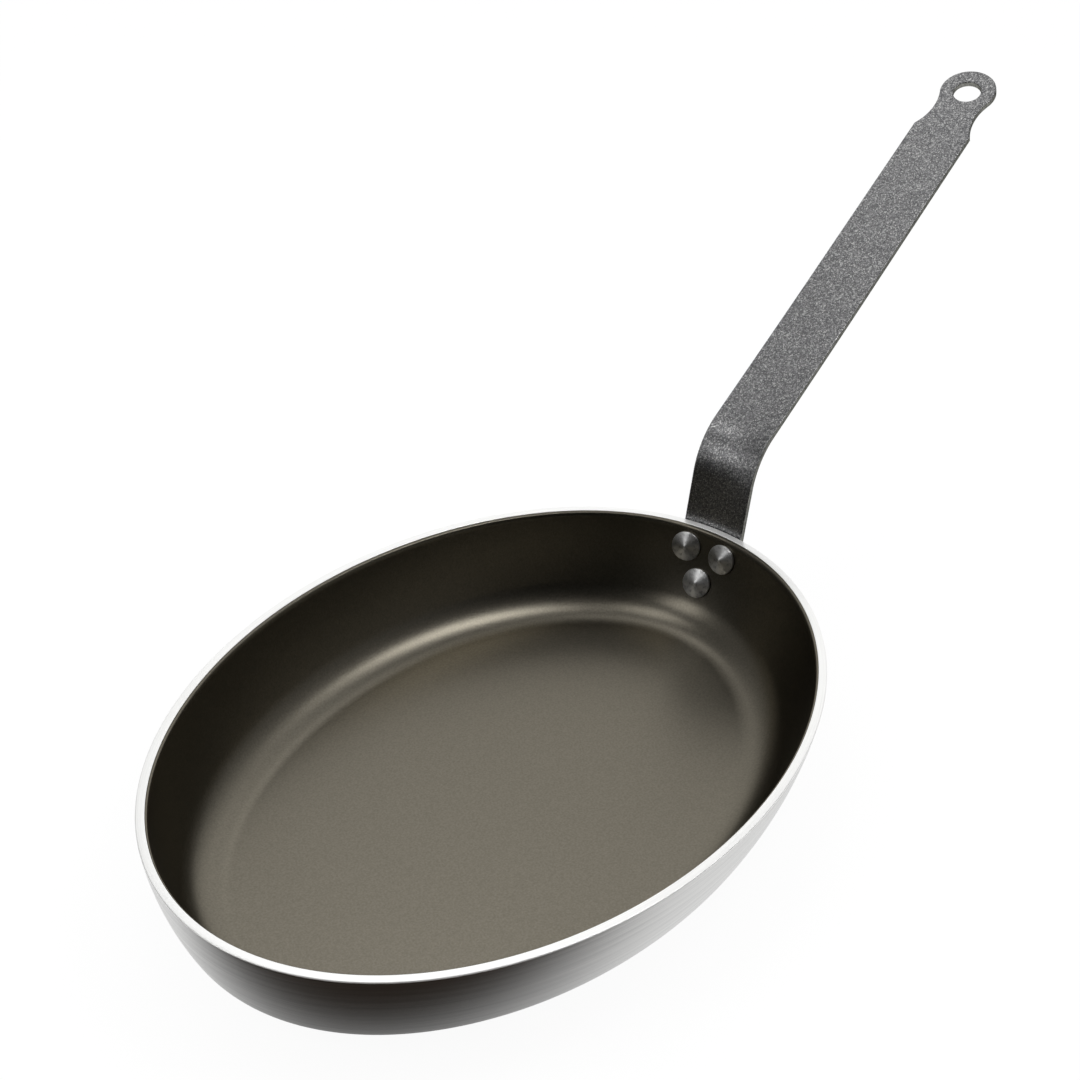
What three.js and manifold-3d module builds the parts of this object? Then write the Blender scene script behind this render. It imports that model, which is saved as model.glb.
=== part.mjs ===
// Oval frying pan: a pressed aluminium pan with a non-stick lining, a bent strip handle and three rivets.
// Millimetres, +Z up, the handle towards +X, the origin at the centre of the flat underside.
import * as THREE from 'three';
import { mergeVertices } from 'three/addons/utils/BufferGeometryUtils.js';
import Module from 'manifold-3d';

const { clamp, degToRad, lerp } = THREE.MathUtils;

// Pan
const PAN_LENGTH = 360;              // over the rim, along the handle
const PAN_WIDTH = 252;               // over the rim, across the handle
const PAN_HEIGHT = 52;               // from the underside to the rim
const WALL = 4;                      // thickness of the pressed sheet
const RIM_LEAN = degToRad(8.5);      // the wall's lean from upright at the rim
const SKIRT_LEAN = degToRad(25.5);   // the wall's lean where the corner begins
const CORNER_RADIUS = 23;            // inside, between the wall and the floor
const RIM_ROUND = 1.2;               // rounding of the rim's outer edge
const LINING = 0.5;                  // non-stick lining
const SEAT_GAP = 0.3;                // left between pieces that rest on each other

// Handle
const STRIP_WIDTH = 32;
const STRIP_THICK = 3;
const FOOT_MARGIN = 12;              // strip below the lower rivet's centre
const FOOT_SPARE = 1.5;              // the foot's round end has this much more radius than half the strip
const BEND_HEIGHT = 41;              // from the rim to the corner where the two runs would meet
const BEND_RADIUS = 25;              // on the face that looks at the pan
const HANDLE_RISE = degToRad(26);    // slope of the long run above level
const EYE_REACH = 262.3;             // from that corner to the centre of the eye
const SHOULDER = 4;                  // step in from the strip's edge to the neck
const NECK_RADIUS = 31;              // hollow curve between the shoulder and the eye
const EYE_SWELL = 2.85;              // the eye's radius over half the neck's width
const HANG_HOLE = 14.6;              // diameter of the hanging hole
const HOLE_SETBACK = 1.1;            // the hole lies this far short of the eye's centre

// Rivets
const UPPER_DROP = 12.2;             // down the wall from the rim to the two upper rivets
const LOWER_DROP = 29.4;             // and to the lower one
const RIVET_INSET = 5.3;             // from the strip's edge to the upper rivets' centres
const RIVET_SHANK = 6;               // diameter
const RIVET_HEAD = 14.9;             // diameter of the head inside the pan
const HEAD_EDGE = 0.9;               // height of the head's upright edge
const HEAD_CONE = 1.8;               // rise of the shallow cone above that edge
const RIVET_TAIL = 10;               // diameter of the formed head outside
const TAIL_HEIGHT = 2.4;

// Facets
const OVAL_STEPS = 64;
const WALL_STEPS = 3;
const CORNER_STEPS = 5;
const RIM_STEPS = 3;
const STRIP_STEPS = 6;
const BEND_STEPS = 10;
const ROUND_STEPS = 24;

const UPRIGHT = new THREE.Vector3(0, 1, 0);   // axis of lathes and cylinders
const wasm = await Module();
wasm.setup();

// A closed geometry as a solid that can be joined and cut.
function solid(geometry) {
  const bare = geometry.clone();
  bare.deleteAttribute('normal');
  bare.deleteAttribute('uv');
  const merged = mergeVertices(bare, 1e-4);
  const corners = merged.getIndex().array;
  const triangles = [];
  for (let i = 0; i < corners.length; i += 3) {
    const [a, b, c] = corners.slice(i, i + 3);
    if (a !== b && b !== c && c !== a) triangles.push(a, b, c);
  }
  const vertProperties = new Float32Array(merged.getAttribute('position').array);
  return new wasm.Manifold(new wasm.Mesh({ numProp: 3, vertProperties, triVerts: new Uint32Array(triangles) }));
}

// A solid as a named mesh with its own finish.
function piece(name, body, color, roughness, metalness) {
  const { vertProperties, triVerts } = body.getMesh();
  const geometry = new THREE.BufferGeometry();
  geometry.setAttribute('position', new THREE.BufferAttribute(vertProperties, 3));
  geometry.setIndex(new THREE.BufferAttribute(triVerts, 1));
  geometry.computeVertexNormals();
  const mesh = new THREE.Mesh(geometry, new THREE.MeshStandardMaterial({ color, roughness, metalness }));
  mesh.name = name;
  return mesh;
}

// The wall in side view. Its outer face is one wide arc from the rim to the corner, and then the corner's own
// arc down to the flat underside. Both arcs are centred on the inside, so every layer of the wall is an offset.
const halfLength = PAN_LENGTH / 2;
const halfWidth = PAN_WIDTH / 2;
const outerCorner = CORNER_RADIUS + WALL;
const wallRadius = (PAN_HEIGHT - outerCorner * (1 - Math.sin(SKIRT_LEAN)))
  / (Math.sin(SKIRT_LEAN) - Math.sin(RIM_LEAN));
const wallCentre = new THREE.Vector2(
  halfLength - wallRadius * Math.cos(RIM_LEAN),
  PAN_HEIGHT + wallRadius * Math.sin(RIM_LEAN),
);
const cornerCentre = wallCentre.clone().add(outward(SKIRT_LEAN).multiplyScalar(wallRadius - outerCorner));
const floorReach = cornerCentre.x;                       // half the length of the flat floor
const endRadius = halfWidth ** 2 / halfLength;           // how sharply the oval turns at its ends

// Direction square to the wall, out of the pan, where it leans by this angle.
function outward(lean) {
  return new THREE.Vector2(Math.cos(lean), -Math.sin(lean));
}

// Lean at which the layer this deep in the wall reaches a height.
function leanAt(height, depth) {
  return Math.asin((wallCentre.y - height) / (wallRadius - depth));
}

// Point of the layer this deep in the wall, where it leans by this angle.
function wallPoint(lean, depth) {
  return outward(lean).multiplyScalar(wallRadius - depth).add(wallCentre);
}

// One layer of the pan in side view, from the floor's edge up to a height under the rim.
function layer(depth, top) {
  const points = [];
  for (let i = 0; i <= CORNER_STEPS; i++) {
    const lean = lerp(Math.PI / 2, SKIRT_LEAN, i / CORNER_STEPS);
    points.push(outward(lean).multiplyScalar(outerCorner - depth).add(cornerCentre));
  }
  const topLean = leanAt(top, depth);
  for (let i = 1; i <= WALL_STEPS; i++) {
    points.push(wallPoint(lerp(SKIRT_LEAN, topLean, i / WALL_STEPS), depth));
  }
  return points;
}

// A profile turned round the oval instead of round a circle: each point keeps its distance inside the rim,
// measured square to the oval, and the flat floor shrinks evenly to the middle.
function turnOnOval(profile) {
  const lathe = new THREE.LatheGeometry(profile, OVAL_STEPS);
  const places = lathe.getAttribute('position');
  for (let i = 0; i < places.count; i++) {
    const reach = Math.hypot(places.getX(i), places.getZ(i));
    const turn = Math.atan2(places.getX(i), places.getZ(i));
    const square = new THREE.Vector2(Math.cos(turn) / halfLength, Math.sin(turn) / halfWidth).normalize();
    const spot = new THREE.Vector2(halfLength * Math.cos(turn), halfWidth * Math.sin(turn))
      .addScaledVector(square, Math.max(reach, floorReach) - halfLength)
      .multiplyScalar(Math.min(reach / floorReach, 1));
    places.setXYZ(i, spot.x, spot.y, places.getY(i));
  }
  return solid(lathe);
}

// Rim: flat on top, with a rounded outer edge.
function rimRound() {
  const lean = leanAt(PAN_HEIGHT - RIM_ROUND, RIM_ROUND);
  const centre = wallPoint(lean, RIM_ROUND);
  const points = [];
  for (let i = 0; i <= RIM_STEPS; i++) {
    points.push(outward(lerp(lean, -Math.PI / 2, i / RIM_STEPS)).multiplyScalar(RIM_ROUND).add(centre));
  }
  return points;
}

function panBody() {
  const outside = layer(0, PAN_HEIGHT - RIM_ROUND).slice(0, -1);
  const inside = layer(WALL, PAN_HEIGHT).reverse();
  return turnOnOval([new THREE.Vector2(0, 0), ...outside, ...rimRound(), ...inside, new THREE.Vector2(0, WALL)]);
}

function lining() {
  const back = WALL + SEAT_GAP;
  const face = back + LINING;
  return turnOnOval([
    new THREE.Vector2(0, back),
    ...layer(back, PAN_HEIGHT),
    ...layer(face, PAN_HEIGHT).reverse(),
    new THREE.Vector2(0, face),
  ]);
}

// Handle in side view: the line of the face that looks at the pan. The foot follows the wall, the short run
// goes on straight over the rim, and one bend turns it into the long run.
const halfStrip = STRIP_WIDTH / 2;
const rimLeave = leanAt(PAN_HEIGHT, -SEAT_GAP);
const rimPoint = wallPoint(rimLeave, -SEAT_GAP);
const longLean = Math.PI / 2 - HANDLE_RISE;
const bendTangent = BEND_RADIUS * Math.tan((longLean - rimLeave) / 2);
const bendCorner = alongStrip(rimLeave).multiplyScalar(BEND_HEIGHT / Math.cos(rimLeave)).add(rimPoint);
const bendStart = bendCorner.clone().addScaledVector(alongStrip(rimLeave), -bendTangent);
const bendCentre = bendStart.clone().addScaledVector(outward(rimLeave), BEND_RADIUS);

// Direction of the strip, away from its foot, where it leans by this angle.
function alongStrip(lean) {
  return new THREE.Vector2(Math.sin(lean), Math.cos(lean));
}

// Neck and eye, on the long run, measured from the bend's corner.
const neckHalf = halfStrip - SHOULDER;
const eyeRadius = neckHalf + EYE_SWELL;
const neckCentre = new THREE.Vector2(
  EYE_REACH - Math.sqrt((NECK_RADIUS + eyeRadius) ** 2 - (NECK_RADIUS + neckHalf) ** 2),
  NECK_RADIUS + neckHalf,
);
const tipReach = EYE_REACH + eyeRadius;
const footRadius = halfStrip + FOOT_SPARE;
const footLean = rimLeave + (LOWER_DROP + FOOT_MARGIN) / wallRadius;
const trim = STRIP_WIDTH;                                // length of raw strip that is cut away at each end

// The raw strip's two faces in side view, as one closed outline.
function stripOutline() {
  const rawLean = footLean + FOOT_MARGIN / wallRadius;
  const front = [];
  const back = [];
  const station = (point, lean) => {
    front.push(point);
    back.unshift(point.clone().addScaledVector(outward(lean), STRIP_THICK));
  };
  for (let i = 0; i <= BEND_STEPS; i++) {
    const lean = lerp(rawLean, rimLeave, i / BEND_STEPS);
    station(wallPoint(lean, -SEAT_GAP), lean);
  }
  for (let i = 0; i <= BEND_STEPS; i++) {
    const lean = lerp(rimLeave, longLean, i / BEND_STEPS);
    station(outward(lean).multiplyScalar(-BEND_RADIUS).add(bendCentre), lean);
  }
  station(alongStrip(longLean).multiplyScalar(tipReach + trim).add(bendCorner), longLean);
  return new THREE.Shape([...front, ...back]);
}

// The foot is dished across its width to sit on the round end of the oval, and flattens out before the bend.
function dishFoot(geometry) {
  const places = geometry.getAttribute('position');
  for (let i = 0; i < places.count; i++) {
    const height = places.getZ(i);
    const inset = halfLength - wallPoint(leanAt(Math.min(height, PAN_HEIGHT), 0), 0).x;
    const hollow = clamp((bendStart.y - height) / (bendStart.y - PAN_HEIGHT), 0, 1);
    const sag = hollow * places.getY(i) ** 2 / (2 * (endRadius - inset));
    places.setX(i, places.getX(i) - sag);
  }
}

// Waste round the neck and the eye, drawn on the long run.
function neckWaste() {
  const toEye = new THREE.Vector2(EYE_REACH, 0).sub(neckCentre).angle();
  const reach = tipReach + 2 * trim;
  const waste = new THREE.Shape();
  waste.moveTo(reach, -neckCentre.y);
  waste.lineTo(reach, neckCentre.y);
  waste.absarc(neckCentre.x, neckCentre.y, NECK_RADIUS, Math.PI, toEye, false);
  waste.absarc(EYE_REACH, 0, eyeRadius, toEye - Math.PI, Math.PI - toEye, true);
  waste.absarc(neckCentre.x, -neckCentre.y, NECK_RADIUS, -toEye, -Math.PI, false);
  const depth = 2 * STRIP_WIDTH;
  return new THREE.ExtrudeGeometry(waste, { depth, bevelEnabled: false, curveSegments: ROUND_STEPS })
    .translate(0, 0, -depth / 2);
}

// Turns a tool that was drawn on the long run into its place there.
function ontoLongRun(geometry) {
  return solid(geometry.rotateY(-HANDLE_RISE).translate(bendCorner.x, 0, bendCorner.y));
}

// Waste round the foot's end, drawn across the strip.
function footWaste() {
  const centre = wallPoint(footLean, -SEAT_GAP).y + footRadius;
  const waste = new THREE.Shape();
  waste.moveTo(-trim, centre - trim * 2);
  waste.lineTo(trim, centre - trim * 2);
  waste.lineTo(trim, centre);
  waste.absarc(0, centre, footRadius, 0, -Math.PI, true);
  waste.lineTo(-trim, centre);
  const depth = 4 * STRIP_WIDTH;
  const tool = new THREE.ExtrudeGeometry(waste, { depth, bevelEnabled: false, curveSegments: ROUND_STEPS });
  return solid(tool.rotateX(Math.PI / 2).rotateZ(Math.PI / 2).translate(rimPoint.x - depth / 2, 0, 0));
}

function handle() {
  const strip = new THREE.ExtrudeGeometry(stripOutline(), {
    depth: STRIP_WIDTH,
    steps: STRIP_STEPS,
    bevelEnabled: false,
  });
  strip.rotateX(Math.PI / 2).translate(0, halfStrip, 0);
  dishFoot(strip);
  const hole = new THREE.CylinderGeometry(HANG_HOLE / 2, HANG_HOLE / 2, STRIP_WIDTH, ROUND_STEPS)
    .rotateX(Math.PI / 2)
    .translate(EYE_REACH - HOLE_SETBACK, 0, 0);
  return solid(strip)
    .subtract(ontoLongRun(neckWaste()))
    .subtract(ontoLongRun(hole))
    .subtract(footWaste());
}

// Seat of a rivet: where its axis leaves the outside of the wall, and which way it points.
function rivetSeat(drop, side) {
  const lean = RIM_LEAN + drop / wallRadius;
  const spot = wallPoint(lean, 0);
  const endTurn = endRadius - (halfLength - spot.x);
  const swing = Math.asin(side / endTurn);
  const square = outward(lean);
  return {
    place: new THREE.Vector3(spot.x - endTurn * (1 - Math.cos(swing)), side, spot.y),
    axis: new THREE.Vector3(square.x * Math.cos(swing), square.x * Math.sin(swing), square.y),
    endTurn,
  };
}

// Clearance hole for a rivet, right through the wall, the lining and the strip.
function rivetHole(seat) {
  const radius = RIVET_SHANK / 2 + SEAT_GAP;
  const drill = new THREE.CylinderGeometry(radius, radius, 2 * RIVET_HEAD, ROUND_STEPS);
  const turn = new THREE.Quaternion().setFromUnitVectors(UPRIGHT, seat.axis);
  return solid(drill.applyQuaternion(turn).translate(seat.place.x, seat.place.y, seat.place.z));
}

// A rivet along its own axis: cone head inside the pan, shank, and a domed head formed on the strip.
function rivetSolid(seat) {
  const headRadius = RIVET_HEAD / 2;
  const tailRadius = RIVET_TAIL / 2;
  const liningFace = WALL + SEAT_GAP + LINING;
  const headSag = headRadius ** 2 / (2 * (seat.endTurn - liningFace));
  const headSeat = -(liningFace + headSag + SEAT_GAP);
  const tailSeat = SEAT_GAP + STRIP_THICK + SEAT_GAP;
  const profile = [
    new THREE.Vector2(0, headSeat - HEAD_EDGE - HEAD_CONE),
    new THREE.Vector2(headRadius, headSeat - HEAD_EDGE),
    new THREE.Vector2(headRadius, headSeat),
    new THREE.Vector2(RIVET_SHANK / 2, headSeat),
    new THREE.Vector2(RIVET_SHANK / 2, tailSeat),
  ];
  for (let i = 0; i < RIM_STEPS; i++) {
    const climb = i / RIM_STEPS * Math.PI / 2;
    profile.push(new THREE.Vector2(tailRadius * Math.cos(climb), tailSeat + TAIL_HEIGHT * Math.sin(climb)));
  }
  profile.push(new THREE.Vector2(0, tailSeat + TAIL_HEIGHT));
  return solid(new THREE.LatheGeometry(profile, ROUND_STEPS));
}

const rowSide = halfStrip - RIVET_INSET;
const seats = {
  rivet_left: rivetSeat(UPPER_DROP, rowSide),
  rivet_right: rivetSeat(UPPER_DROP, -rowSide),
  rivet_lower: rivetSeat(LOWER_DROP, 0),
};

// Drills every rivet hole through a piece.
function drilled(body) {
  return Object.values(seats).reduce((rest, seat) => rest.subtract(rivetHole(seat)), body);
}

const fryingPan = new THREE.Group();
fryingPan.add(
  piece('pan_body', drilled(panBody()), 0xc4c5c3, 0.35, 1),
  piece('nonstick_lining', drilled(lining()), 0x4b463d, 0.5, 0),
  piece('handle', drilled(handle()), 0x5c5d5f, 0.45, 0.4),
);
for (const [name, seat] of Object.entries(seats)) {
  const rivet = piece(name, rivetSolid(seat), 0x8f9092, 0.3, 1);
  rivet.position.copy(seat.place);
  rivet.quaternion.setFromUnitVectors(UPRIGHT, seat.axis);
  fryingPan.add(rivet);
}

export default fryingPan;
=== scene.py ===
import math

import bmesh
import bpy
from mathutils import Matrix, Vector


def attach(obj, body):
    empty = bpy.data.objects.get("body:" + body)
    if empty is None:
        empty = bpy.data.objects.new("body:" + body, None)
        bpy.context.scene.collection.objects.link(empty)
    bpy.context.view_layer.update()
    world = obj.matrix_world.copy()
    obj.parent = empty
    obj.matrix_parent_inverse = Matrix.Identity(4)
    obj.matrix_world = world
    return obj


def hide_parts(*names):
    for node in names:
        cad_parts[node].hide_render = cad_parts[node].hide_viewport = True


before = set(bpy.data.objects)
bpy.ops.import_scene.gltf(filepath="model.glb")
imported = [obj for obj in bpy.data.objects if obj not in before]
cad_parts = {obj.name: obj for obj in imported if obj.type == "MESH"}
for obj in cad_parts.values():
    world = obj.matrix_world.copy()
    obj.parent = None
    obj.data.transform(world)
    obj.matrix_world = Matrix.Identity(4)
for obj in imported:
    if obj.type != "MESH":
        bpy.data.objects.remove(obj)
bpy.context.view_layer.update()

# Pressed pan. One blank of thick aluminium sheet, drawn into an oval dish with a flat underside, a wide
# corner and a leaning wall. The outside is brushed round the oval, and the rim is cut flat and left bright.
MM = 0.001
PAN_LENGTH = 360 * MM
PAN_WIDTH = 252 * MM
PAN_HEIGHT = 52 * MM
SHEET = 4 * MM
RIM_LEAN = math.radians(8.5)
SKIRT_LEAN = math.radians(25.5)
INNER_CORNER = 23 * MM
RIM_ROUND = 0.5 * MM
RIM_BREAK = 0.15 * MM
# The solid's rim is rounder, so the wall leans in by the tuck at its top, to keep the skin inside it.
RIM_TUCK = 0.14 * MM
SKIN_INSET = 0.01 * MM
OVAL_STEPS = 256
CORNER_ROWS = 18
WALL_ROWS = 16
ROUND_ROWS = 6
UNDERSIDE_RINGS = 6
ON_AXIS = 1e-9
# Brush and cutter marks to the metre, round the oval and up the wall.
FINE_BRUSH = (18, 2600, 1)
BROAD_BRUSH = (9, 420, 1)
RIM_CUT = (30, 3000, 1)
BRUSHED_TONES = [(0.3, (0.52, 0.52, 0.515)), (0.7, (0.82, 0.82, 0.81))]
RIM_TONES = [(0.3, (0.85, 0.85, 0.84)), (0.7, (0.93, 0.93, 0.915))]


def outward(lean):
    """Direction square to the wall in side view, out of the pan, where it leans by this angle."""
    return Vector((math.cos(lean), -math.sin(lean)))


half_length = PAN_LENGTH / 2
half_width = PAN_WIDTH / 2
outer_corner = INNER_CORNER + SHEET
wall_radius = (PAN_HEIGHT - outer_corner * (1 - math.sin(SKIRT_LEAN))) / (
    math.sin(SKIRT_LEAN) - math.sin(RIM_LEAN)
)
wall_centre = Vector((
    half_length - wall_radius * math.cos(RIM_LEAN),
    PAN_HEIGHT + wall_radius * math.sin(RIM_LEAN),
))
corner_centre = wall_centre + outward(SKIRT_LEAN) * (wall_radius - outer_corner)
floor_reach = corner_centre.x
end_radius = half_width ** 2 / half_length


def lean_at(height, depth):
    """Lean of the layer this deep in the wall, at a height."""
    return math.asin((wall_centre.y - height) / (wall_radius - depth))


def wall_point(lean, depth):
    """Point of the layer this deep in the wall, in side view."""
    return wall_centre + outward(lean) * (wall_radius - depth)


def blend_between(low, high, share):
    """The number this share of the way from one to another."""
    return low + (high - low) * share


def layer(depth, top):
    """One layer of the pan in side view, from the floor's edge up to a height."""
    points = []
    for i in range(CORNER_ROWS + 1):
        lean = blend_between(math.pi / 2, SKIRT_LEAN, i / CORNER_ROWS)
        points.append(corner_centre + outward(lean) * (outer_corner - depth))
    for i in range(1, WALL_ROWS + 1):
        lean = blend_between(SKIRT_LEAN, lean_at(top, depth), i / WALL_ROWS)
        points.append(wall_point(lean, depth))
    return points


def flat_rings(height):
    """Points of the flat floor in side view, from the middle out to just inside its edge."""
    return [Vector((floor_reach * i / UNDERSIDE_RINGS, height)) for i in range(UNDERSIDE_RINGS)]


def on_oval(turn, reach):
    """Place on the oval whose points lie this far out along the pan's long axis."""
    square = Vector((math.cos(turn) / half_length, math.sin(turn) / half_width)).normalized()
    rim = Vector((half_length * math.cos(turn), half_width * math.sin(turn)))
    return (rim + square * (max(reach, floor_reach) - half_length)) * min(reach / floor_reach, 1)


def make_piece(name, shell, finishes):
    """Object from a bmesh, smooth, with its finishes in order."""
    mesh = bpy.data.meshes.new(name)
    bmesh.ops.recalc_face_normals(shell, faces=shell.faces)
    for face in shell.faces:
        face.smooth = True
    shell.to_mesh(mesh)
    shell.free()
    for finish in finishes:
        mesh.materials.append(finish)
    piece = bpy.data.objects.new(name, mesh)
    bpy.context.scene.collection.objects.link(piece)
    return piece


def turn_on_oval(profile, finish_of_row=lambda row: 0):
    """Closed shell from a profile with both ends on the axis, mapped round the oval and up the wall."""
    shell = bmesh.new()
    wrap = shell.loops.layers.uv.new("wrap")
    turns = [2 * math.pi * i / OVAL_STEPS for i in range(OVAL_STEPS + 1)]
    rows = []
    for point in profile:
        if point.x < ON_AXIS:
            rows.append([shell.verts.new((0, 0, point.y))] * OVAL_STEPS)
            continue
        spots = [on_oval(turn, point.x) for turn in turns[:-1]]
        rows.append([shell.verts.new((spot.x, spot.y, point.y)) for spot in spots])
    along = [0.0]
    for turn, next_turn in zip(turns, turns[1:]):
        step = on_oval(next_turn, half_length) - on_oval(turn, half_length)
        along.append(along[-1] + step.length)
    up = [0.0]
    for lower, upper in zip(profile, profile[1:]):
        up.append(up[-1] + (upper - lower).length)
    for j in range(len(profile) - 1):
        for i in range(OVAL_STEPS):
            k = (i + 1) % OVAL_STEPS
            corners = [
                (rows[j][i], i, j),
                (rows[j][k], i + 1, j),
                (rows[j + 1][k], i + 1, j + 1),
                (rows[j + 1][i], i, j + 1),
            ]
            if rows[j][i] is rows[j][k]:
                corners.pop(1)
            if rows[j + 1][i] is rows[j + 1][k]:
                corners.pop(2)
            face = shell.faces.new([corner[0] for corner in corners])
            face.material_index = finish_of_row(j)
            for loop, (_, step, row) in zip(face.loops, corners):
                loop[wrap].uv = (along[step], up[row])
    return shell


def new_finish(name):
    """A material with its node tree and its surface shader."""
    finish = bpy.data.materials.new(name)
    finish.use_nodes = True
    return finish, finish.node_tree, finish.node_tree.nodes["Principled BSDF"]


def feed(tree, node, feeds):
    """Feeds a node's sockets with values or with other nodes' sockets."""
    for socket, value in feeds.items():
        if isinstance(value, bpy.types.NodeSocket):
            tree.links.new(value, node.inputs[socket])
        else:
            node.inputs[socket].default_value = value


def add_node(tree, kind, feeds, **settings):
    """A shader node with its settings, and with its sockets fed."""
    node = tree.nodes.new(kind)
    for key, value in settings.items():
        setattr(node, key, value)
    feed(tree, node, feeds)
    return node


def add_ramp(tree, amount, stops):
    """A colour ramp from (place, colour) stops."""
    ramp = add_node(tree, "ShaderNodeValToRGB", {"Fac": amount})
    while len(ramp.color_ramp.elements) < len(stops):
        ramp.color_ramp.elements.new(0.5)
    for element, (place, colour) in zip(ramp.color_ramp.elements, stops):
        element.position = place
        element.color = (*colour, 1)
    return ramp.outputs["Color"]


def add_range(tree, value, low, high):
    """A number from 0 to 1 spread from one value to another."""
    spread = add_node(tree, "ShaderNodeMapRange", {"Value": value, "To Min": low, "To Max": high})
    return spread.outputs["Result"]


def add_math(tree, operation, first, second):
    """A sum, product or larger one of two numbers."""
    return add_node(tree, "ShaderNodeMath", {0: first, 1: second}, operation=operation).outputs["Value"]


def add_noise(tree, place, scale, detail):
    """A soft noise over a place, with this many swells to the metre."""
    noise = add_node(tree, "ShaderNodeTexNoise", {"Vector": place, "Scale": scale, "Detail": detail})
    return noise.outputs["Fac"]


def add_streaks(tree, marks, detail):
    """A noise drawn out round the oval, with these marks to the metre."""
    wrap = add_node(tree, "ShaderNodeUVMap", {}, uv_map="wrap").outputs["UV"]
    drawn_out = add_node(tree, "ShaderNodeMapping", {"Vector": wrap, "Scale": marks}).outputs["Vector"]
    return add_noise(tree, drawn_out, 1.0, detail)


def add_bump(tree, height, distance, strength):
    """A surface direction that follows small heights."""
    bump = add_node(tree, "ShaderNodeBump", {"Height": height, "Distance": distance, "Strength": strength})
    return bump.outputs["Normal"]


def brushed_aluminium():
    """Aluminium brushed round the oval, with fine and broad streaks."""
    finish, tree, surface = new_finish("brushed_aluminium")
    fine = add_streaks(tree, FINE_BRUSH, detail=2.0)
    broad = add_streaks(tree, BROAD_BRUSH, detail=3.0)
    streak = add_math(tree, "MULTIPLY", add_math(tree, "ADD", fine, broad), 0.5)
    along_brush = add_node(tree, "ShaderNodeTangent", {}, direction_type="UV_MAP", uv_map="wrap")
    feed(tree, surface, {
        "Base Color": add_ramp(tree, streak, BRUSHED_TONES),
        "Roughness": add_range(tree, streak, low=0.24, high=0.44),
        "Normal": add_bump(tree, streak, distance=0.04 * MM, strength=0.6),
        "Tangent": along_brush.outputs["Tangent"],
        "Metallic": 1.0,
        "Anisotropic": 0.75,
        "Anisotropic Rotation": 0.25,
    })
    return finish


def cut_rim():
    """Bright cut metal with the cutter's fine lines."""
    finish, tree, surface = new_finish("cut_rim")
    cut = add_streaks(tree, RIM_CUT, detail=2.0)
    feed(tree, surface, {
        "Base Color": add_ramp(tree, cut, RIM_TONES),
        "Roughness": add_range(tree, cut, low=0.28, high=0.36),
        "Metallic": 0.66,
    })
    return finish


def rim_round():
    """The rim's rounded outer edge, from the wall to its flat top."""
    lean = lean_at(PAN_HEIGHT - RIM_ROUND, RIM_ROUND)
    centre = wall_point(lean, RIM_ROUND)
    turns = [blend_between(lean, -math.pi / 2, i / ROUND_ROWS) for i in range(ROUND_ROWS + 1)]
    return [centre + outward(turn) * (RIM_ROUND - SKIN_INSET) - Vector((RIM_TUCK, 0)) for turn in turns]


wall = layer(SKIN_INSET, PAN_HEIGHT - RIM_ROUND)[:-1]
outside = flat_rings(SKIN_INSET)
outside += [point - Vector((RIM_TUCK * i / len(wall), 0)) for i, point in enumerate(wall)]
rim_inner = layer(SHEET, PAN_HEIGHT)[-1]
rim = rim_round() + [
    rim_inner + Vector((RIM_BREAK * 2, 0)),
    rim_inner + Vector((RIM_BREAK, 0)),
    rim_inner - Vector((0, RIM_BREAK)),
]
inside = layer(SHEET, PAN_HEIGHT - 2 * RIM_BREAK)[::-1] + flat_rings(SHEET)[::-1]
rim_rows = range(len(outside), len(outside) + len(rim) - 1)
pan = make_piece(
    "pressed_pan",
    turn_on_oval(outside + rim + inside, lambda row: 1 if row in rim_rows else 0),
    [brushed_aluminium(), cut_rim()],
)
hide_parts("pan_body")
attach(pan, "root")

# Non-stick coat. A brown-black film with a fine mineral grain, sprayed on the inside of the pan in several
# passes and baked on. Its top edge slopes back to the wall just under the cut rim.
COAT_BACK = SHEET + 0.05 * MM
COAT_FACE = SHEET + 0.8 * MM
COAT_TOP = PAN_HEIGHT - 0.1 * MM
COAT_BEVEL = 1.3 * MM
COAT_GRAIN = 1100.0
COAT_TONES = [(0.3, (0.172, 0.158, 0.126)), (0.7, (0.221, 0.202, 0.163))]


def own_place(tree):
    """Place on a piece, in the piece's own metres."""
    return add_node(tree, "ShaderNodeTexCoord", {}).outputs["Object"]


def nonstick_coat():
    """Satin coat with a mineral grain, dulled where it is seen at a low angle."""
    finish, tree, surface = new_finish("nonstick_coat")
    grain = add_noise(tree, own_place(tree), COAT_GRAIN, detail=3.0)
    feed(tree, surface, {
        "Base Color": add_ramp(tree, grain, COAT_TONES),
        "Roughness": add_range(tree, grain, low=0.29, high=0.36),
        "Normal": add_bump(tree, grain, distance=0.03 * MM, strength=0.6),
        "Metallic": 1.0,
        "Specular Tint": (0.4, 0.4, 0.4, 1),
    })
    return finish


coat_outer = layer(COAT_BACK, COAT_TOP)
coat_inner = layer(COAT_FACE, COAT_TOP - COAT_BEVEL)
coat = make_piece(
    "nonstick_coat",
    turn_on_oval(flat_rings(COAT_BACK) + coat_outer + coat_inner[::-1] + flat_rings(COAT_FACE)[::-1]),
    [nonstick_coat()],
)
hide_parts("nonstick_lining")
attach(coat, "root")

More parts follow.
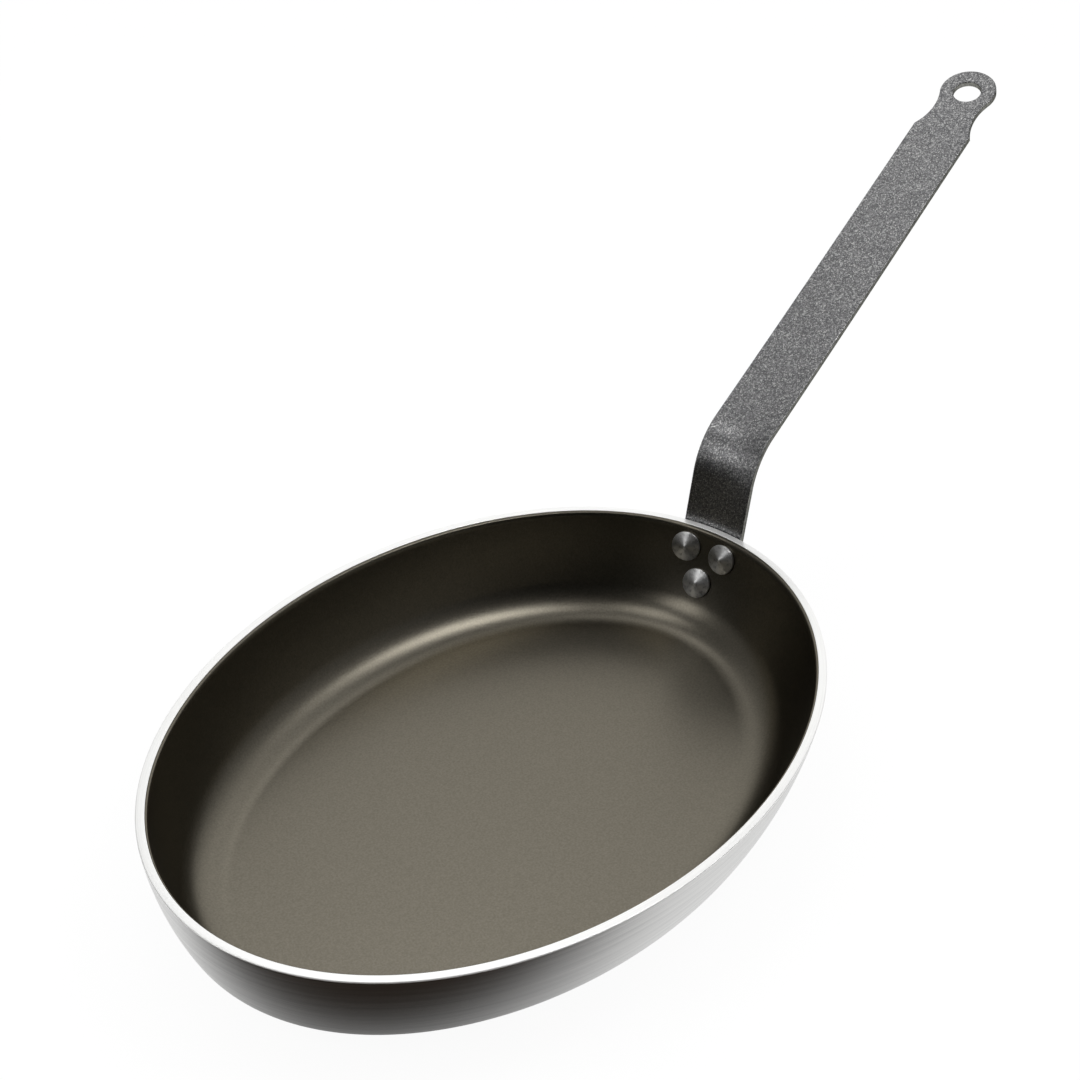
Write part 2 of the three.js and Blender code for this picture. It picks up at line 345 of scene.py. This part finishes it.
# Strip handle. A flat bar of steel, cropped to a round foot at one end and to a neck and an eye at the
# other. It is dished at the foot to fit the oval's end, bent once above the rim and stove-painted in
# hammered grey.
SEAT_GAP = 0.3 * MM
STRIP_WIDTH = 32 * MM
STRIP_THICK = 3 * MM
FRONT_EDGE = 0.45 * MM
BACK_EDGE = 0.2 * MM
LOWER_DROP = 29.4 * MM
FOOT_MARGIN = 12 * MM
FOOT_SPARE = 1.5 * MM
BEND_HEIGHT = 41 * MM
BEND_RADIUS = 30 * MM
DISH_RUN = 150 * MM
HANDLE_RISE = math.radians(26)
EYE_REACH = 262.3 * MM
SHOULDER = 4 * MM
SHOULDER_LEAD = 0.5 * MM
NECK_RADIUS = 31 * MM
EYE_SWELL = 2.85 * MM
HANG_HOLE = 14.6 * MM
HOLE_SETBACK = 1.1 * MM
# Steps of the outline's stretches, in their order from the foot's tip to the eye's tip.
FOOT_STEPS = 14
SEAT_STEPS = 10
SHORT_STEPS = 14
BEND_STEPS = 28
LONG_STEPS = 40
NECK_STEPS = 10
FLARE_STEPS = 6
EYE_STEPS = 24
# Shares of the half width, and of the way from the eye's edge to its hole, where the mesh has lines.
COLUMNS = [-1, -0.955, -0.8, -0.6, -0.4, -0.2, 0, 0.2, 0.4, 0.6, 0.8, 0.955, 1]
EYE_RINGS = [0.09, 0.5, 0.91, 1]
EDGE_STEPS = 4
# The first rows of the front edge keep the face's paint. The rest is the sheared edge, in a darker paint
# that is a painted shade along the strip's edges and round the eye's hole.
FACE_PAINT_ROWS = 2
FLAKE_CELLS = 1900.0
FLAKE_TONES = [
    (0.0, (0.14, 0.14, 0.145)),
    (0.5, (0.25, 0.25, 0.255)),
    (0.85, (0.40, 0.40, 0.40)),
    (1.0, (0.70, 0.70, 0.69)),
]
SHEAR_GRAIN = 900.0
# Tones of the sheared edge, darker than the face: a painted shade along the strip's edges and in the eye's
# hole.
EDGE_SHADE_TONES = [(0.3, (0.16, 0.16, 0.145)), (0.7, (0.33, 0.33, 0.305))]
PAINT_GLANCE = (0.2, 0.2, 0.2, 1)


def along_strip(lean):
    """Direction of the strip in side view, away from its foot, where it leans by this angle."""
    return Vector((math.sin(lean), math.cos(lean)))


half_strip = STRIP_WIDTH / 2
rim_leave = lean_at(PAN_HEIGHT, -SEAT_GAP)
rim_point = wall_point(rim_leave, -SEAT_GAP)
long_lean = math.pi / 2 - HANDLE_RISE
bend_tangent = BEND_RADIUS * math.tan((long_lean - rim_leave) / 2)
short_run = BEND_HEIGHT / math.cos(rim_leave) - bend_tangent
bend_end = short_run + BEND_RADIUS * (long_lean - rim_leave)
bend_start = rim_point + along_strip(rim_leave) * short_run
bend_centre = bend_start + outward(rim_leave) * BEND_RADIUS
long_start = bend_centre - outward(long_lean) * BEND_RADIUS
long_run_at = bend_end - bend_tangent
neck_half = half_strip - SHOULDER
eye_radius = neck_half + EYE_SWELL
foot_radius = half_strip + FOOT_SPARE
foot_tip = -(LOWER_DROP + FOOT_MARGIN)
neck_centre = Vector((
    EYE_REACH - math.sqrt((NECK_RADIUS + eye_radius) ** 2 - (NECK_RADIUS + neck_half) ** 2),
    NECK_RADIUS + neck_half,
))


def strip_front(run):
    """Place and lean of the strip's front face in side view, at a run along it from the rim."""
    if run < 0:
        lean = rim_leave - run / (wall_radius + SEAT_GAP)
        return wall_point(lean, -SEAT_GAP), lean
    if run < short_run:
        return rim_point + along_strip(rim_leave) * run, rim_leave
    if run < bend_end:
        lean = rim_leave + (run - short_run) / BEND_RADIUS
        return bend_centre - outward(lean) * BEND_RADIUS, lean
    return long_start + along_strip(long_lean) * (run - bend_end), long_lean


def bent(spot, depth):
    """Where a spot of the flat strip, at a depth under its front face, goes when the strip is bent."""
    front, lean = strip_front(spot.x)
    place = front + outward(lean) * depth
    inset = half_length - wall_point(lean_at(min(place.y, PAN_HEIGHT), 0), 0).x
    fade = min(max(spot.x / DISH_RUN, 0), 1)
    sag = (1 - fade * fade * (3 - 2 * fade)) * spot.y ** 2 / (2 * (end_radius - inset))
    place -= outward(lean - rim_leave if spot.x > 0 else 0) * sag
    return Vector((place.x, spot.y, place.y))


def strip_outline():
    """One side of the flat strip, from foot to eye, and the number of its narrowest point."""
    foot_turn = math.asin(half_strip / foot_radius)
    outline = []
    for i in range(FOOT_STEPS + 1):
        turn = foot_turn * i / FOOT_STEPS
        run = foot_tip + foot_radius * (1 - math.cos(turn))
        outline.append(Vector((run, foot_radius * math.sin(turn))))
    shoulder_back = math.sqrt(NECK_RADIUS ** 2 - (neck_centre.y - half_strip) ** 2)
    shoulder = long_run_at + neck_centre.x - shoulder_back
    legs = [
        (outline[-1].x, 0, SEAT_STEPS),
        (0, short_run, SHORT_STEPS),
        (short_run, bend_end, BEND_STEPS),
        (bend_end, shoulder - SHOULDER_LEAD, LONG_STEPS),
    ]
    for start, end, steps in legs:
        outline += [Vector((blend_between(start, end, i / steps), half_strip)) for i in range(1, steps + 1)]
    outline.append(Vector((shoulder, half_strip)))
    corner = math.atan2(half_strip - neck_centre.y, shoulder - long_run_at - neck_centre.x)
    narrow = -math.pi / 2
    to_eye = math.atan2(-neck_centre.y, EYE_REACH - neck_centre.x)
    run_centre = Vector((long_run_at + neck_centre.x, neck_centre.y))
    for start, end, steps in [(corner, narrow, NECK_STEPS), (narrow, to_eye, FLARE_STEPS)]:
        for i in range(1, steps + 1):
            turn = blend_between(start, end, i / steps)
            outline.append(run_centre + Vector((math.cos(turn), math.sin(turn))) * NECK_RADIUS)
    narrowest = len(outline) - 1 - FLARE_STEPS
    eye = Vector((long_run_at + EYE_REACH, 0))
    for i in range(1, EYE_STEPS + 1):
        turn = blend_between(to_eye + math.pi, 0, i / EYE_STEPS)
        outline.append(eye + Vector((math.cos(turn), math.sin(turn))) * eye_radius)
    return outline, narrowest


def mirrored(spot):
    """The same spot on the strip's other side."""
    return Vector((spot.x, -spot.y))


def outline_squares(outline):
    """Direction out of the strip, in its own plane, at each point of one side."""
    ends = [mirrored(outline[1])] + outline + [mirrored(outline[-2])]
    squares = []
    for before, after in zip(ends, ends[2:]):
        course = (after - before).normalized()
        squares.append(Vector((-course.y, course.x)))
    return squares


def edge_profile():
    """Rounded edge of the strip: how far each point lies inside the outline, and how deep."""
    turns = [math.pi / 2 * i / EDGE_STEPS for i in range(EDGE_STEPS + 1)]

    def quarter(radius):
        return [(radius * (1 - math.sin(turn)), radius * (1 - math.cos(turn))) for turn in turns]

    back = [(inside, STRIP_THICK - rise) for inside, rise in quarter(BACK_EDGE)]
    return quarter(FRONT_EDGE) + back[::-1]


def strip_shell():
    """The bent strip: its two faces with the hole in the eye, and the edges between them."""
    shell = bmesh.new()
    outline, narrowest = strip_outline()
    squares = outline_squares(outline)
    edge_points = edge_profile()[1:-1]
    hole = Vector((long_run_at + EYE_REACH - HOLE_SETBACK, 0))

    def point(spot, depth):
        return shell.verts.new(bent(spot, depth))

    def across(edge):
        return [Vector((edge.x, edge.y * share)) for share in COLUMNS]

    def hole_side(spot, inside):
        return hole + (spot - hole).normalized() * (HANG_HOLE / 2 + inside)

    def skin(*corners, finish=0):
        unique = list(dict.fromkeys(corners))
        if len(unique) > 2:
            shell.faces.new(unique).material_index = finish

    sides = []
    for depth, rounding in ((0, FRONT_EDGE), (STRIP_THICK, BACK_EDGE)):
        edge = [spot - square * rounding for spot, square in zip(outline, squares)]
        rows = [[point(edge[0], depth)] * len(COLUMNS)]
        for side in edge[1:narrowest + 1]:
            rows.append([point(spot, depth) for spot in across(side)])
        for lower, upper in zip(rows, rows[1:]):
            for a, b, c, d in zip(lower, lower[1:], upper[1:], upper):
                skin(a, b, c, d)
        right = edge[narrowest + 1:]
        around = right + [mirrored(spot) for spot in right[-2::-1]]
        spots = across(edge[narrowest]) + around
        rings = [rows[-1] + [point(spot, depth) for spot in around]]
        for share in EYE_RINGS:
            rings.append([point(spot.lerp(hole_side(spot, rounding), share), depth) for spot in spots])
        for outer, inner in zip(rings, rings[1:]):
            for i in range(len(outer)):
                k = (i + 1) % len(outer)
                skin(outer[i], outer[k], inner[k], inner[i])
        right_end = len(COLUMNS) + len(right)
        rim_right = [row[-1] for row in rows] + rings[0][len(COLUMNS):right_end]
        rim_left = [row[0] for row in rows] + rings[0][:right_end - 2:-1]
        sides.append((rim_right + rim_left[-2:0:-1], rings[-1], spots))

    (front_rim, front_mouth, spots), (back_rim, back_mouth, _) = sides
    course = list(zip(outline, squares))
    course += [(mirrored(spot), mirrored(square)) for spot, square in course[-2:0:-1]]
    edges = [front_rim]
    for inside, depth in edge_points:
        edges.append([point(spot - square * inside, depth) for spot, square in course])
    edges.append(back_rim)
    mouths = [front_mouth]
    for inside, depth in edge_points:
        mouths.append([point(hole_side(spot, inside), depth) for spot in spots])
    mouths.append(back_mouth)
    for bands in (edges, mouths):
        for row, (upper, lower) in enumerate(zip(bands, bands[1:])):
            for i in range(len(upper)):
                k = (i + 1) % len(upper)
                # Rows past the face's paint take the darker edge paint, a painted shade along the edges and
                # in the hole.
                skin(upper[i], upper[k], lower[k], lower[i], finish=int(row >= FACE_PAINT_ROWS))
    return shell


def hammered_paint():
    """Small cells of dark and bright flakes with soft dents."""
    finish, tree, surface = new_finish("hammered_paint")
    cells = add_node(tree, "ShaderNodeTexVoronoi", {"Vector": own_place(tree), "Scale": FLAKE_CELLS})
    flake = add_node(tree, "ShaderNodeSeparateColor", {"Color": cells.outputs["Color"]}).outputs["Red"]
    feed(tree, surface, {
        "Base Color": add_ramp(tree, flake, FLAKE_TONES),
        "Roughness": add_range(tree, flake, low=0.42, high=0.34),
        "Normal": add_bump(tree, cells.outputs["Distance"], distance=0.2 * MM, strength=0.15),
        "Metallic": 1.0,
        "Specular Tint": PAINT_GLANCE,
    })
    return finish


def edge_shade_paint():
    """Darker paint over the grain of the sheared edge, a painted shade along the strip's edges and round
    the eye's hole.
    """
    finish, tree, surface = new_finish("edge_shade_paint")
    shear = add_noise(tree, own_place(tree), SHEAR_GRAIN, detail=3.0)
    feed(tree, surface, {
        "Base Color": add_ramp(tree, shear, EDGE_SHADE_TONES),
        "Roughness": add_range(tree, shear, low=0.52, high=0.40),
        "Normal": add_bump(tree, shear, distance=0.1 * MM, strength=0.3),
        "Metallic": 1.0,
        "Specular Tint": PAINT_GLANCE,
    })
    return finish


strip = make_piece("strip_handle", strip_shell(), [hammered_paint(), edge_shade_paint()])
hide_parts("handle")
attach(strip, "root")

# Rivets. Three solid rivets, two side by side under the rim and one below, each through drilled holes in
# all three layers. Their turned cone heads sit on the coat, and their tails are formed into low domes on
# the strip.
UPPER_DROP = 12.2 * MM
RIVET_SIDE = half_strip - 5.3 * MM
RIVET_SHANK = 6 * MM
RIVET_HEAD = 14.9 * MM
HEAD_EDGE = 0.9 * MM
HEAD_CONE = 1.8 * MM
HEAD_ROUND = 0.5 * MM
EDGE_LIFT = 0.2 * HEAD_ROUND
TIP_WIDTH = 0.12
TIP_HEIGHT = 0.90
CONE_SHARES = (0.2, 0.4, 0.6, 0.8, 0.9)
HEAD_ROUND_STEPS = 4
RIVET_TAIL = 10 * MM
TAIL_HEIGHT = 2.4 * MM
TAIL_LIP = 0.2 * MM
TAIL_UNDERCUT = 0.3 * MM
TAIL_STEPS = 9
RIVET_STEPS = 72
LATHE_RINGS = 700.0
SCUFF_GRAIN = 500.0
SCUFF_TONES = [(0.34, (0.48, 0.48, 0.48)), (0.5, (0.78, 0.78, 0.775)), (0.75, (0.86, 0.86, 0.85))]


def rivet_seat(drop, side):
    """Frame of a rivet, with its own Z out through the wall, and how sharply the pan turns there."""
    lean = RIM_LEAN + drop / wall_radius
    spot = wall_point(lean, 0)
    end_turn = end_radius - (half_length - spot.x)
    swing = math.asin(side / end_turn)
    square = outward(lean)
    place = Vector((spot.x - end_turn * (1 - math.cos(swing)), side, spot.y))
    axis = Vector((square.x * math.cos(swing), square.x * math.sin(swing), square.y))
    upright = Vector((0, 0, 1))
    across = upright.cross(axis).normalized()
    turn = Matrix((across, axis.cross(across), axis)).transposed().to_4x4()
    return Matrix.Translation(place) @ turn, end_turn


def lathe(profile, steps):
    """Closed turned shell from (radius, height) points that start and end on the axis."""
    shell = bmesh.new()
    turns = [2 * math.pi * i / steps for i in range(steps)]
    rows = []
    for radius, height in profile:
        if radius < ON_AXIS:
            rows.append([shell.verts.new((0, 0, height))] * steps)
            continue
        ring = [(radius * math.cos(turn), radius * math.sin(turn), height) for turn in turns]
        rows.append([shell.verts.new(spot) for spot in ring])
    for lower, upper in zip(rows, rows[1:]):
        for i in range(steps):
            k = (i + 1) % steps
            shell.faces.new(list(dict.fromkeys((lower[i], lower[k], upper[k], upper[i]))))
    return shell


def rivet_profile(end_turn):
    """The rivet in side view, as (radius, height) points from its head's tip to its tail's top."""
    head = RIVET_HEAD / 2
    shank = RIVET_SHANK / 2
    tail = RIVET_TAIL / 2
    head_sag = head ** 2 / (2 * (end_turn - COAT_FACE))
    seat = -(COAT_FACE + head_sag + SEAT_GAP)
    edge = seat - HEAD_EDGE
    points = [(0, edge - HEAD_CONE), (TIP_WIDTH * head, edge - HEAD_CONE * TIP_HEIGHT)]
    points += [(head * share, edge - HEAD_CONE * (1 - share)) for share in CONE_SHARES]
    for i in range(HEAD_ROUND_STEPS + 1):
        turn = math.pi / 2 * i / HEAD_ROUND_STEPS
        radius = head - HEAD_ROUND * (1 - math.sin(turn))
        points.append((radius, edge + HEAD_ROUND * (1 - math.cos(turn)) - EDGE_LIFT))
    points += [(head, seat), (shank, seat)]
    tail_seat = SEAT_GAP + STRIP_THICK + SEAT_GAP
    points += [(shank, tail_seat), (tail - TAIL_UNDERCUT, tail_seat)]
    for i in range(TAIL_STEPS):
        climb = math.pi / 2 * i / TAIL_STEPS
        height = tail_seat + TAIL_LIP + (TAIL_HEIGHT - TAIL_LIP) * math.sin(climb)
        points.append((tail * math.cos(climb), height))
    points.append((0, tail_seat + TAIL_HEIGHT))
    return points


def turned_metal():
    """Bare metal with lathe rings and scuffs."""
    finish, tree, surface = new_finish("turned_metal")
    place = own_place(tree)
    rings = add_node(
        tree,
        "ShaderNodeTexWave",
        {"Vector": place, "Scale": LATHE_RINGS, "Distortion": 1.5, "Detail": 2.0},
        wave_type="RINGS",
        rings_direction="Z",
    )
    scuff = add_noise(tree, place, SCUFF_GRAIN, detail=4.0)
    along_rings = add_node(tree, "ShaderNodeTangent", {}, direction_type="RADIAL", axis="Z")
    feed(tree, surface, {
        "Base Color": add_ramp(tree, scuff, SCUFF_TONES),
        "Roughness": add_range(tree, scuff, low=0.48, high=0.34),
        "Normal": add_bump(tree, rings.outputs["Fac"], distance=0.01 * MM, strength=0.4),
        "Tangent": along_rings.outputs["Tangent"],
        "Metallic": 1.0,
        "Anisotropic": 0.6,
        "Anisotropic Rotation": 0.25,
    })
    return finish


def drill(piece, seat):
    """Cuts a clearance hole for a rivet through a piece."""
    reach = RIVET_HEAD
    radius = RIVET_SHANK / 2 + SEAT_GAP
    bore = [(0, -reach), (radius, -reach), (radius, reach), (0, reach)]
    bit = make_piece("drill", lathe(bore, RIVET_STEPS), [])
    bit.matrix_world = seat
    cut = piece.modifiers.new("rivet_hole", "BOOLEAN")
    cut.operation = "DIFFERENCE"
    cut.solver = "EXACT"
    cut.object = bit
    bpy.context.view_layer.update()
    with_hole = piece.evaluated_get(bpy.context.evaluated_depsgraph_get())
    drilled = bpy.data.meshes.new_from_object(with_hole)
    piece.modifiers.remove(cut)
    solid = piece.data
    piece.data = drilled
    drilled.name = solid.name
    bpy.data.meshes.remove(solid)
    bpy.data.meshes.remove(bit.data)


rivet_finish = turned_metal()
rivets = {
    "rivet_left": ("upper_left_rivet", rivet_seat(UPPER_DROP, RIVET_SIDE)),
    "rivet_right": ("upper_right_rivet", rivet_seat(UPPER_DROP, -RIVET_SIDE)),
    "rivet_lower": ("lower_rivet", rivet_seat(LOWER_DROP, 0)),
}
for node, (name, (seat, end_turn)) in rivets.items():
    for sheet in (pan, coat, strip):
        drill(sheet, seat)
    rivet = make_piece(name, lathe(rivet_profile(end_turn), RIVET_STEPS), [rivet_finish])
    rivet.matrix_world = seat
    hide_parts(node)
    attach(rivet, "root")

# Floor. A plain pale table that keeps the pan's soft shadow and goes white in the picture. In what the
# metal mirrors, it is white under the pan and falls off into the dark of the room on the viewer's side:
# there its colour is painted dark, a painted shade that stands in for the unlit room.
FLOOR_HALF = 4.0
FLOOR_DROP = 0.2 * MM
TOWARDS_ROOM = Vector((-0.821, -0.571, 0))
# How far out towards the room the table stays pale, and where its painted shade has gone fully dark.
TABLE_END = 0.080
ROOM_START = 0.178
TABLE_PALE = (0.9, 0.9, 0.9)
# The table's colour out towards the room: a painted shade for the unlit room, which the metal mirrors.
PAINTED_ROOM_SHADE = (0.021, 0.015, 0.011)
WHITE_SHARE = 0.93
WHITE = (1, 1, 1, 1)


def add_fade(tree, value, none_at, full_at):
    """A smooth share, from 0 where the value is at one number to 1 where it is at another."""
    limits = {"Value": value, "From Min": none_at, "From Max": full_at}
    return add_node(tree, "ShaderNodeMapRange", limits, interpolation_type="SMOOTHSTEP").outputs["Result"]


def add_dot(tree, place, direction):
    """How far a place lies along a direction."""
    dot = add_node(tree, "ShaderNodeVectorMath", {0: place, 1: direction}, operation="DOT_PRODUCT")
    return dot.outputs["Value"]


def add_mix(tree, share, first, second):
    """One shader, with this share of a second one mixed in."""
    parts = {"Fac": share, 1: first.outputs[0], 2: second.outputs[0]}
    return add_node(tree, "ShaderNodeMixShader", parts)


floor_shell = bmesh.new()
bmesh.ops.create_grid(floor_shell, x_segments=1, y_segments=1, size=FLOOR_HALF)
floor_finish = bpy.data.materials.new("pale_table")
floor_finish.use_nodes = True
floor_tree = floor_finish.node_tree
floor_tree.nodes.clear()
floor_rays = add_node(floor_tree, "ShaderNodeLightPath", {}).outputs
floor_place = add_node(floor_tree, "ShaderNodeNewGeometry", {}).outputs["Position"]
clear = add_fade(floor_tree, add_dot(floor_tree, floor_place, TOWARDS_ROOM), ROOM_START, TABLE_END)
# The table's colour runs from pale to the painted room shade on the viewer's side.
table = add_ramp(floor_tree, clear, [(0.0, PAINTED_ROOM_SHADE), (1.0, TABLE_PALE)])
shaded = add_node(floor_tree, "ShaderNodeBsdfDiffuse", {"Color": table})
pale = add_node(floor_tree, "ShaderNodeBsdfDiffuse", {"Color": (*TABLE_PALE, 1)})
white = add_node(floor_tree, "ShaderNodeEmission", {"Color": WHITE, "Strength": 1.0})
shown = add_mix(floor_tree, WHITE_SHARE, pale, white)
in_metal = add_math(floor_tree, "MULTIPLY", floor_rays["Is Glossy Ray"], clear)
in_picture = add_math(floor_tree, "MAXIMUM", floor_rays["Is Camera Ray"], floor_rays["Is Transmission Ray"])
bright = add_math(floor_tree, "MAXIMUM", in_picture, in_metal)
whole_floor = add_mix(floor_tree, bright, shaded, shown)
add_node(floor_tree, "ShaderNodeOutputMaterial", {"Surface": whole_floor.outputs[0]})
floor = make_piece("floor", floor_shell, [floor_finish])
floor.location.z = -FLOOR_DROP

# Light. A white backdrop behind the pan, four soft boxes above it and a dark room on the viewer's side. The
# metal shows the backdrop and the room, and in the picture itself the whole background is white.
BACKDROP = Vector((0.896, 0.444, 0))
# Greys of the walls, from the one behind the viewer round to the backdrop.
WALL_GREYS = [
    (0.0, 0.01),
    (0.18, 0.02),
    (0.37, 0.15),
    (0.75, 0.25),
    (0.894, 0.5),
    (0.955, 0.96),
    (1.0, 1.0),
]
# Heights of a look at which the walls are dark and at which they are in full light.
CEILING_DARK = 0.95
WALL_TOP = 0.62

world = bpy.data.worlds.new("studio")
bpy.context.scene.world = world
world.use_nodes = True
sky_tree = world.node_tree
sky_tree.nodes.clear()
sky_rays = add_node(sky_tree, "ShaderNodeLightPath", {}).outputs
look = add_node(sky_tree, "ShaderNodeTexCoord", {}).outputs["Generated"]
flattened = add_node(sky_tree, "ShaderNodeVectorMath", {0: look, 1: (1, 1, 0)}, operation="MULTIPLY")
level_look = flattened.outputs["Vector"]
bearing = add_node(sky_tree, "ShaderNodeVectorMath", {0: level_look}, operation="NORMALIZE")
facing = add_dot(sky_tree, bearing.outputs["Vector"], BACKDROP)
to_backdrop = add_node(sky_tree, "ShaderNodeMapRange", {"Value": facing, "From Min": -1.0})
wall_stops = [(place, (grey, grey, grey)) for place, grey in WALL_GREYS]
walls = add_ramp(sky_tree, to_backdrop.outputs["Result"], wall_stops)
look_height = add_node(sky_tree, "ShaderNodeSeparateXYZ", {"Vector": look}).outputs["Z"]
studio = add_math(sky_tree, "MULTIPLY", walls, add_fade(sky_tree, look_height, CEILING_DARK, WALL_TOP))
seen = add_node(sky_tree, "ShaderNodeBackground", {"Color": WHITE, "Strength": 1.0})
mirrored_studio = add_node(sky_tree, "ShaderNodeBackground", {"Color": WHITE, "Strength": studio})
in_view = add_math(sky_tree, "MAXIMUM", sky_rays["Is Camera Ray"], sky_rays["Is Transmission Ray"])
plain_white = add_math(sky_tree, "MAXIMUM", in_view, sky_rays["Is Diffuse Ray"])
sky = add_mix(sky_tree, plain_white, mirrored_studio, seen)
add_node(sky_tree, "ShaderNodeOutputWorld", {"Surface": sky.outputs[0]})


def soft_box(name, place, aim, width, height, watts):
    """A flat lamp of this width and height at a place, turned towards what it is aimed at."""
    lamp = bpy.data.lights.new(name, "AREA")
    lamp.shape = "RECTANGLE"
    lamp.size = width
    lamp.size_y = height
    lamp.energy = watts
    box = bpy.data.objects.new(name, lamp)
    bpy.context.scene.collection.objects.link(box)
    box.location = place
    box.rotation_euler = (Vector(place) - Vector(aim)).to_track_quat("Z", "Y").to_euler()


# The left and right boxes give the sheen in the coat's far corner, the front box the spots on the bend and
# the rivets, and the back box the even grey of the handle's long run.
soft_box("left_box", (-0.12, 0.26, 1.25), aim=(0.15, 0.02, 0), width=0.45, height=0.45, watts=1.4)
soft_box("right_box", (0.46, -0.38, 1.18), aim=(0.10, 0.08, 0), width=0.35, height=0.5, watts=3.1)
soft_box("front_box", (-0.79, 0.42, 0.76), aim=(0.19, 0, 0.09), width=0.4, height=0.6, watts=1.6)
soft_box("back_box", (1.10, 0.93, 2.45), aim=(0.34, 0.01, 0.17), width=1.0, height=1.0, watts=3.9)

# Camera. A little to the right of the pan's long axis, looking down on it with the handle going away. Its
# place, turns and lens were solved from the rim, the wall and the handle's edges.
CAMERA_TURN = math.radians(-56.789)
CAMERA_RISE = math.radians(32.897)
CAMERA_ROLL = math.radians(2.625)
CAMERA_PLACE = Vector((-0.5566, -0.3802, 0.5733))
CAMERA_LENS = 66.0
CAMERA_FILM = 36.0
NEAREST_SEEN = 0.01
back = Vector((
    math.sin(CAMERA_TURN) * math.cos(CAMERA_RISE),
    -math.cos(CAMERA_TURN) * math.cos(CAMERA_RISE),
    math.sin(CAMERA_RISE),
))
level = Vector((math.cos(CAMERA_TURN), math.sin(CAMERA_TURN), 0))
upward = back.cross(level)
right = level * math.cos(CAMERA_ROLL) + upward * math.sin(CAMERA_ROLL)
top = upward * math.cos(CAMERA_ROLL) - level * math.sin(CAMERA_ROLL)
lens = bpy.data.cameras.new("camera")
lens.sensor_width = CAMERA_FILM
lens.lens = CAMERA_LENS
lens.clip_start = NEAREST_SEEN
camera = bpy.data.objects.new("camera", lens)
bpy.context.scene.collection.objects.link(camera)
camera.matrix_world = Matrix.Translation(CAMERA_PLACE) @ Matrix((right, top, back)).transposed().to_4x4()
bpy.context.scene.camera = camera
bpy.context.scene.view_settings.view_transform = "Standard"
